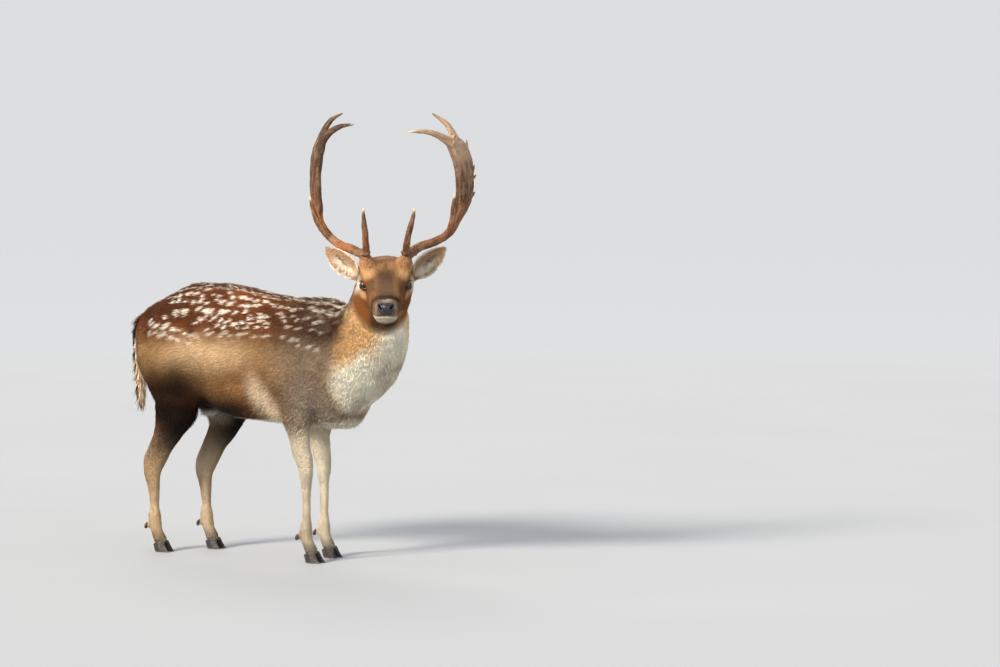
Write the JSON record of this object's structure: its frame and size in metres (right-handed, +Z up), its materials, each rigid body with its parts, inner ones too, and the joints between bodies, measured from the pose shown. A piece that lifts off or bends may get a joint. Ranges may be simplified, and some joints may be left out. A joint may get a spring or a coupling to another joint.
{
  "type": "fallow deer",
  "caption": "Life-size fallow buck in a spotted autumn coat, standing still with its head turned to its right, with narrow palmate antlers.",
  "frame": {"origin": "centre of the footprint of the whole model's box, on the floor under the hooves", "axes": "+X the way the body faces, +Y the deer's left side, +Z up; the head is turned towards -Y"},
  "size_m": [1.2796, 0.4894, 1.4933],
  "materials": {
    "coat_chestnut": "short dense fur, rusty chestnut with cream spots above, paler below",
    "coat_face": "very short tan fur, white round the lips and under the eyes",
    "coat_leg": "short greyish beige fur",
    "coat_tail": "long fur, black above and cream below",
    "coat_ear": "thin fur, pale and pinkish inside",
    "nose_leather": "moist, finely pebbled",
    "eye_wet": "wet and dark",
    "antler_bone": "hard antler, grooved and satin, with ivory tips",
    "hoof_horn": "dark satin horn"
  },
  "bodies": {
    "root": {"antler_left_beam": "antler_bone", "antler_left_brow_tine": "antler_bone", "antler_left_front_tine": "antler_bone", "antler_left_palm": "antler_bone", "antler_left_top_tine": "antler_bone", "antler_left_trez_tine": "antler_bone", "antler_right_beam": "antler_bone", "antler_right_brow_tine": "antler_bone", "antler_right_front_tine": "antler_bone", "antler_right_palm": "antler_bone", "antler_right_top_tine": "antler_bone", "antler_right_trez_tine": "antler_bone", "dewclaw_fore_left_inner": "hoof_horn", "dewclaw_fore_left_outer": "hoof_horn", "dewclaw_fore_right_inner": "hoof_horn", "dewclaw_fore_right_outer": "hoof_horn", "dewclaw_hind_left_inner": "hoof_horn", "dewclaw_hind_left_outer": "hoof_horn", "dewclaw_hind_right_inner": "hoof_horn", "dewclaw_hind_right_outer": "hoof_horn", "ear_left": "coat_ear", "ear_right": "coat_ear", "eye_left": "eye_wet", "eye_right": "eye_wet", "foreleg_left_cannon": "coat_leg", "foreleg_left_pastern": "coat_leg", "foreleg_left_upper": "coat_leg", "foreleg_right_cannon": "coat_leg", "foreleg_right_pastern": "coat_leg", "foreleg_right_upper": "coat_leg", "head": "coat_face", "hindleg_left_cannon": "coat_leg", "hindleg_left_pastern": "coat_leg", "hindleg_left_upper": "coat_leg", "hindleg_right_cannon": "coat_leg", "hindleg_right_pastern": "coat_leg", "hindleg_right_upper": "coat_leg", "hoof_fore_left_inner": "hoof_horn", "hoof_fore_left_outer": "hoof_horn", "hoof_fore_right_inner": "hoof_horn", "hoof_fore_right_outer": "hoof_horn", "hoof_hind_left_inner": "hoof_horn", "hoof_hind_left_outer": "hoof_horn", "hoof_hind_right_inner": "hoof_horn", "hoof_hind_right_outer": "hoof_horn", "neck": "coat_chestnut", "nose_pad": "nose_leather", "tail": "coat_tail", "trunk": "coat_chestnut"}
  },
  "joints": []
}
